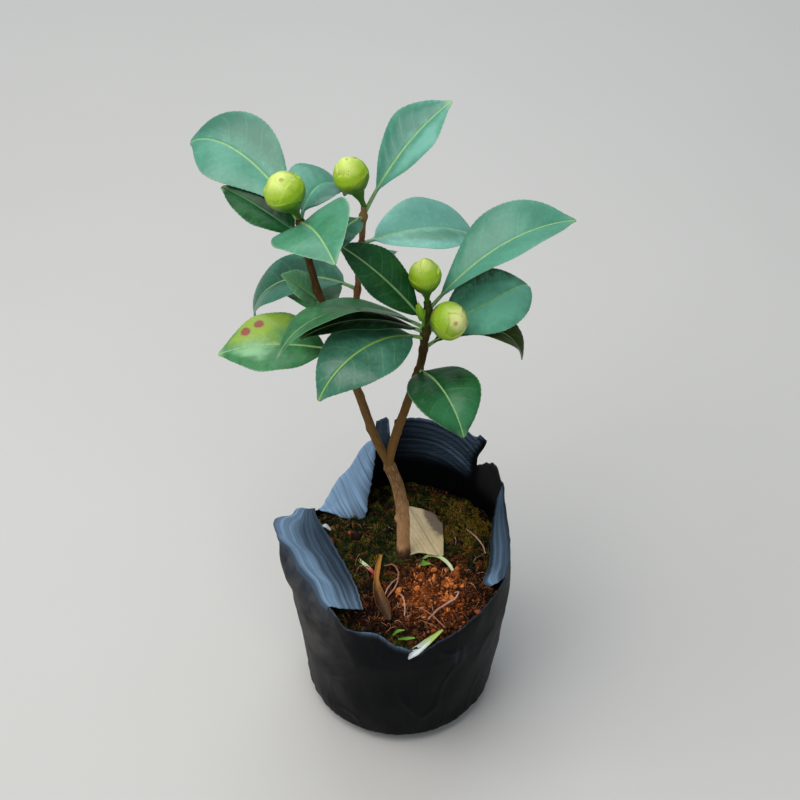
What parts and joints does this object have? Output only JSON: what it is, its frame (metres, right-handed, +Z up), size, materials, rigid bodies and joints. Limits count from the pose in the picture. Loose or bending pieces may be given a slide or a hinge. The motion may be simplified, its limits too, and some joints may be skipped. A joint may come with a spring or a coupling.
{
  "type": "potted camellia shrub",
  "caption": "Young camellia shrub with glossy green leaves and yellow-green flower buds on thin forked stems, standing in a black plastic nursery bag of soil.",
  "frame": {"origin": "centre of the bag's flat underside, on the surface that it stands on", "axes": "+Z up, +X to the right and -Y towards the viewer of the picture"},
  "size_m": [0.1842, 0.1232, 0.3819],
  "materials": {
    "grow_bag": "black film with a dull sheen",
    "soil": "moist bark, coir and moss",
    "bark": "matte young bark",
    "leaf": "glossy",
    "bud": "satin"
  },
  "bodies": {
    "root": {"bud_left": "bud", "bud_middle": "bud", "bud_right": "bud", "bud_right_front": "bud", "grow_bag": "grow_bag", "leaf_bud": "bud", "leaf_left_back": "leaf", "leaf_left_front": "leaf", "leaf_left_rear": "leaf", "leaf_left_small": "leaf", "leaf_left_spotted": "leaf", "leaf_left_under": "leaf", "leaf_left_upper": "leaf", "leaf_middle_arched": "leaf", "leaf_middle_front": "leaf", "leaf_middle_rear": "leaf", "leaf_middle_right": "leaf", "leaf_middle_top": "leaf", "leaf_right_broad": "leaf", "leaf_right_curled": "leaf", "leaf_right_front": "leaf", "leaf_right_long": "leaf", "leaf_right_low": "leaf", "leaf_right_rear": "leaf", "leaf_right_shaded": "leaf", "leaf_right_steep": "leaf", "left_stem": "bark", "middle_stem": "bark", "right_stem": "bark", "soil": "soil", "trunk": "bark"}
  },
  "joints": []
}
